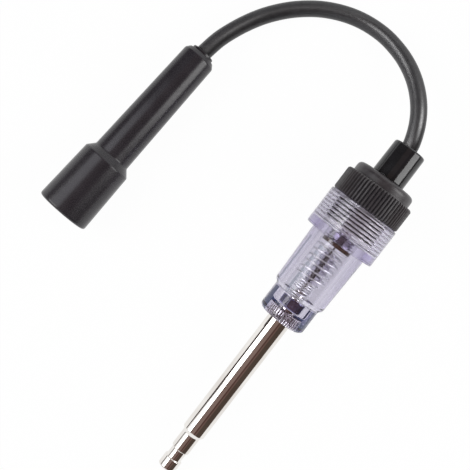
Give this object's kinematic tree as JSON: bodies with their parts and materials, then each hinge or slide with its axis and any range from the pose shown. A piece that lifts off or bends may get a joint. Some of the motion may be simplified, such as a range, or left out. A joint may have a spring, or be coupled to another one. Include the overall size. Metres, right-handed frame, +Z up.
{
  "type": "spark plug tester",
  "caption": "Inline ignition spark tester: clear lamp housing on a push-on terminal rod, knurled screw cap, short flexible lead and rubber plug boot.",
  "frame": {"origin": "middle of the tester and boot's box, on the surface that they lie on", "axes": "+Z up, +X along the tester from its tip to its cap, +Y towards the boot"},
  "size_m": [0.1596, 0.0986, 0.0267],
  "materials": {
    "chrome_plate": "polished plate",
    "clear_plastic": "clear, faint violet tint",
    "plated_steel": "zinc plated",
    "spring_steel": "bright wire",
    "lamp_glass": "clear",
    "electrode_nickel": "dull",
    "vulcanised_fibre": "matt",
    "brass": "turned",
    "black_phenolic": "satin moulding",
    "gloss_black_vinyl": "gloss",
    "lead_jacket": "satin",
    "tinned_copper": "stranded",
    "black_rubber": "matt"
  },
  "bodies": {
    "cap": {"knurled_cap": "black_phenolic", "strain_relief": "gloss_black_vinyl", "contact_stem": "brass", "cap_lead_end": "lead_jacket", "cap_core": "tinned_copper", "lead": "lead_jacket", "boot_lead_end": "lead_jacket", "boot_core": "tinned_copper", "boot_shell": "black_rubber", "boot_bush": "black_rubber", "boot_clip": "plated_steel", "snap_ring": "spring_steel"},
    "lamp": {"lamp_spring": "spring_steel", "lamp_glass": "lamp_glass", "upper_electrode": "electrode_nickel", "lower_electrode": "electrode_nickel", "fibre_washer": "vulcanised_fibre"},
    "housing": {"clear_housing": "clear_plastic", "terminal_rod": "chrome_plate", "rod_nut": "plated_steel"}
  },
  "joints": [
    {"name": "housing_travel", "type": "slide", "parent": "cap", "child": "lamp", "axis": [-0.995, 0, -0.1001], "range_m": [0, 0.009]},
    {"name": "housing_turn", "type": "hinge", "parent": "lamp", "child": "housing", "pos_m": [0.03059, -0.0368, 0.01271], "axis": [-0.995, 0, -0.1001], "range_deg": [0, 2592]}
  ],
  "couplings": [
    {"joint": "housing_turn", "follows": "housing_travel", "rad_per_m": 5026.5}
  ]
}
